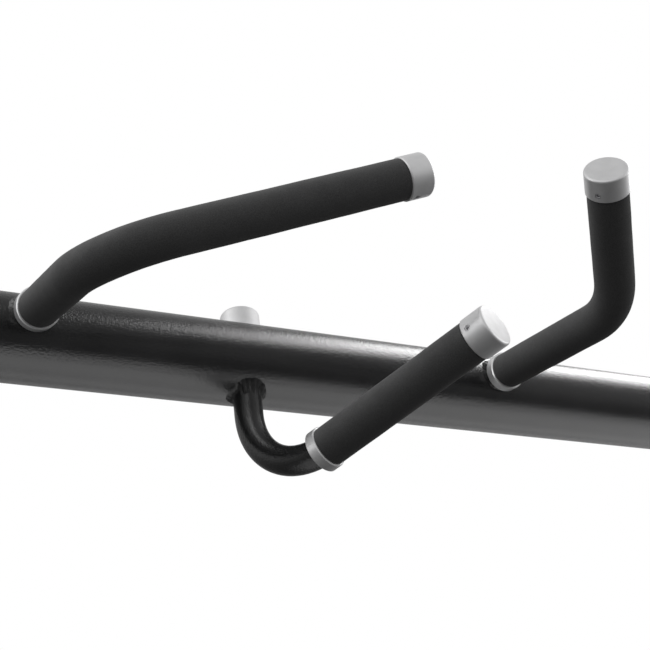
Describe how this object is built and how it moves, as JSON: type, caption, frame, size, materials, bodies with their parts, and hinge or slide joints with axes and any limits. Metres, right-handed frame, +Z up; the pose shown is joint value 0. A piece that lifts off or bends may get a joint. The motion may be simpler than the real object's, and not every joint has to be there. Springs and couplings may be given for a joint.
{
  "type": "pull up bar",
  "caption": "Heavy round crossbar with flanged ends and bent foam-gripped handles: a wide one, an angled one and an underhung hook, each with an aluminium collar and cap.",
  "frame": {"origin": "centre of the left end plate's outer face, on the crossbar's axis", "axes": "+X along the crossbar to the right end plate, +Z up, -Y towards the user, where the handles reach"},
  "size_m": [1.1, 0.374, 0.2417],
  "materials": {
    "powder_coat": "satin black powder coat with a fine orange-peel texture",
    "foam_grip": "matt black foam rubber with a fine grain",
    "anodised_aluminium": "satin silver anodised, turned, with bright chamfers",
    "screw_steel": "black oxide"
  },
  "bodies": {
    "root": {"crossbar_tube": "powder_coat", "left_end_plate": "powder_coat", "right_end_plate": "powder_coat", "left_end_weld": "powder_coat", "right_end_weld": "powder_coat", "wide_handle_tube": "powder_coat", "angled_handle_tube": "powder_coat", "hook_handle_tube": "powder_coat", "wide_root_weld": "powder_coat", "angled_root_weld": "powder_coat", "hook_root_weld": "powder_coat", "wide_grip": "foam_grip", "angled_grip": "foam_grip", "hook_grip": "foam_grip", "wide_collar": "anodised_aluminium", "angled_collar": "anodised_aluminium", "hook_collar": "anodised_aluminium", "wide_end_cap": "anodised_aluminium", "angled_end_cap": "anodised_aluminium", "hook_end_cap": "anodised_aluminium", "hook_top_cap": "anodised_aluminium", "wide_cap_screw": "screw_steel", "angled_cap_screw": "screw_steel", "hook_cap_screw": "screw_steel"}
  },
  "joints": []
}
